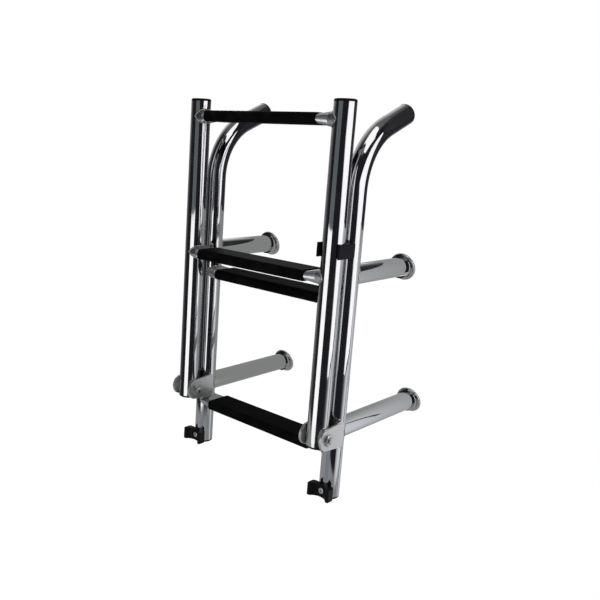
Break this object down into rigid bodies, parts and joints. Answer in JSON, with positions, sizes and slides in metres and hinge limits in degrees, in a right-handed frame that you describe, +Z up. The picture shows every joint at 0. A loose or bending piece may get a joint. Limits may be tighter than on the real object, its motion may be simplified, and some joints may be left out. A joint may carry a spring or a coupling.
{
  "type": "folding transom ladder",
  "caption": "Stainless tube boarding ladder for a transom: a fixed section with grab handles and standoffs, and a hinged section that folds down below it.",
  "frame": {"origin": "on the back face of the left upper foot, on its ring just above the threaded hole", "axes": "+X across the ladder to its right foot, +Y towards the boat, +Z up along the uprights"},
  "size_m": [0.2612, 0.2302, 0.4677],
  "materials": {
    "polished_stainless": "polished",
    "satin_stainless": "satin",
    "stainless_fasteners": "polished",
    "black_tread": "satin",
    "black_plastic": "matte"
  },
  "bodies": {
    "fixed_section": {"clip_screw": "stainless_fasteners", "fixed_lower_rung": "polished_stainless", "fixed_lower_tread": "black_tread", "fixed_upper_rung": "polished_stainless", "fixed_upper_tread": "black_tread", "fold_clip": "black_plastic", "left_fixed_bottom_plug": "black_plastic", "left_fixed_upright": "polished_stainless", "left_handle_plug": "black_plastic", "left_hinge_bolt": "stainless_fasteners", "left_hinge_nut": "stainless_fasteners", "left_hinge_washer": "stainless_fasteners", "left_inner_hinge_plate": "satin_stainless", "left_lower_foot": "polished_stainless", "left_lower_standoff": "polished_stainless", "left_outer_hinge_plate": "satin_stainless", "left_pad_screw": "stainless_fasteners", "left_rest_pad": "black_plastic", "left_upper_foot": "polished_stainless", "left_upper_standoff": "polished_stainless", "right_fixed_bottom_plug": "black_plastic", "right_fixed_upright": "polished_stainless", "right_handle_plug": "black_plastic", "right_hinge_bolt": "stainless_fasteners", "right_hinge_nut": "stainless_fasteners", "right_hinge_washer": "stainless_fasteners", "right_inner_hinge_plate": "satin_stainless", "right_lower_foot": "polished_stainless", "right_lower_standoff": "polished_stainless", "right_outer_hinge_plate": "satin_stainless", "right_pad_screw": "stainless_fasteners", "right_rest_pad": "black_plastic", "right_upper_foot": "polished_stainless", "right_upper_standoff": "polished_stainless"},
    "folding_section": {"folding_lower_rung": "polished_stainless", "folding_lower_tread": "black_tread", "folding_top_rung": "polished_stainless", "folding_top_tread": "black_tread", "left_folding_top_plug": "black_plastic", "left_folding_upright": "polished_stainless", "left_swivel_plug": "black_plastic", "right_folding_top_plug": "black_plastic", "right_folding_upright": "polished_stainless", "right_swivel_plug": "black_plastic"}
  },
  "joints": [
    {"name": "fold", "type": "hinge", "parent": "fixed_section", "child": "folding_section", "pos_m": [0.1093, -0.14906, -0.19723], "axis": [1, 0, 0], "range_deg": [0, 179]}
  ]
}
